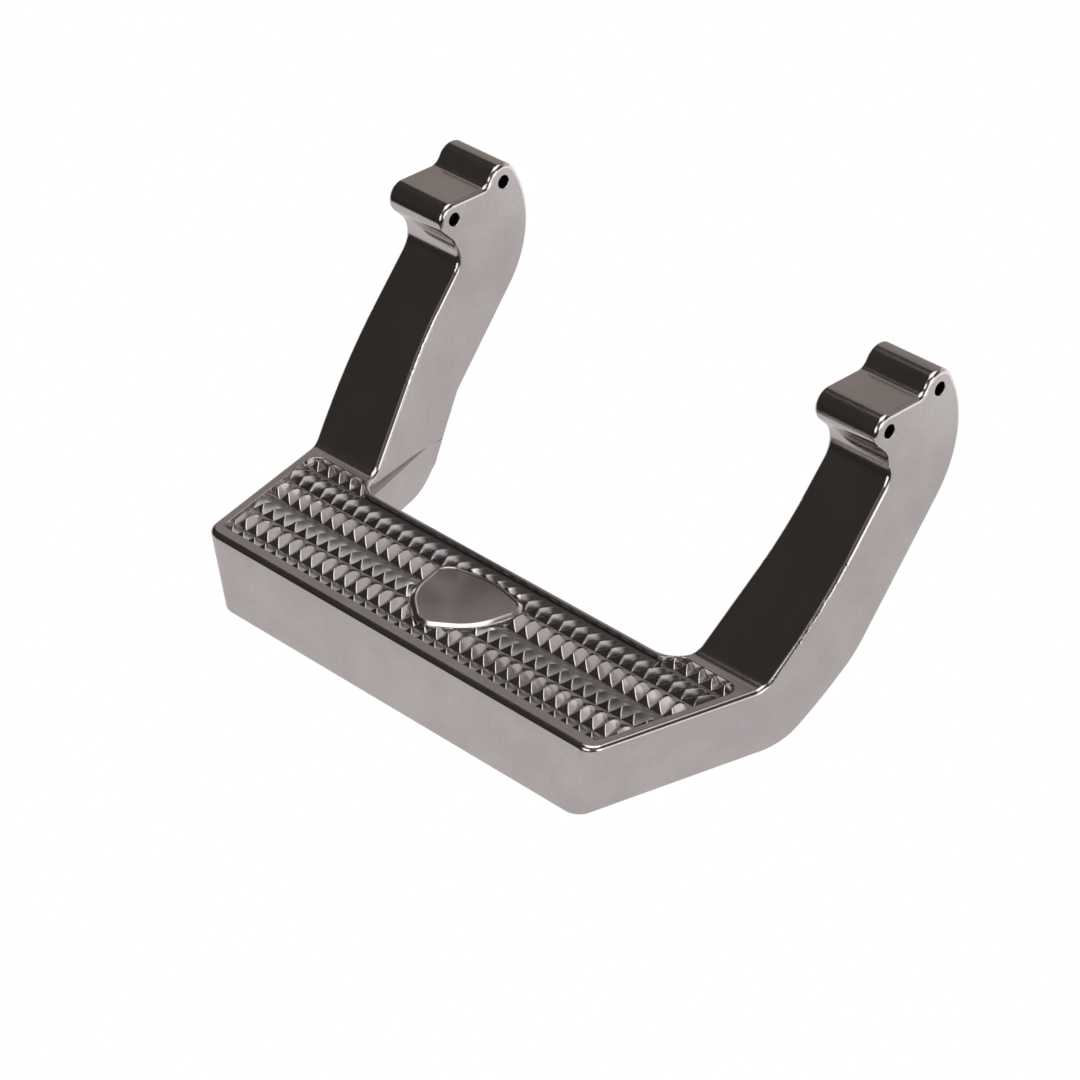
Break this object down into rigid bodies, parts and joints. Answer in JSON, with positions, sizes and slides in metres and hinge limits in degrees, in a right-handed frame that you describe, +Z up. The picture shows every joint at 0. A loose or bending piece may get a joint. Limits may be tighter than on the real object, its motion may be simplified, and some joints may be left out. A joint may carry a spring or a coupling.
{
  "type": "truck step",
  "caption": "Hoop side step cast in polished aluminium: a toothed tread tray with raised arms that bolt to brackets under a truck's sill.",
  "frame": {"origin": "middle of the bounding box's bottom face, on the plane that the skirt's lower edge stands on", "axes": "+X along the tread to its right end as seen from the front, +Y from the tread's front edge back towards the vehicle, +Z up"},
  "size_m": [0.436, 0.2844, 0.2327],
  "materials": {
    "polished_casting": "polished casting"
  },
  "bodies": {
    "root": {"step_casting": "polished_casting"}
  },
  "joints": []
}
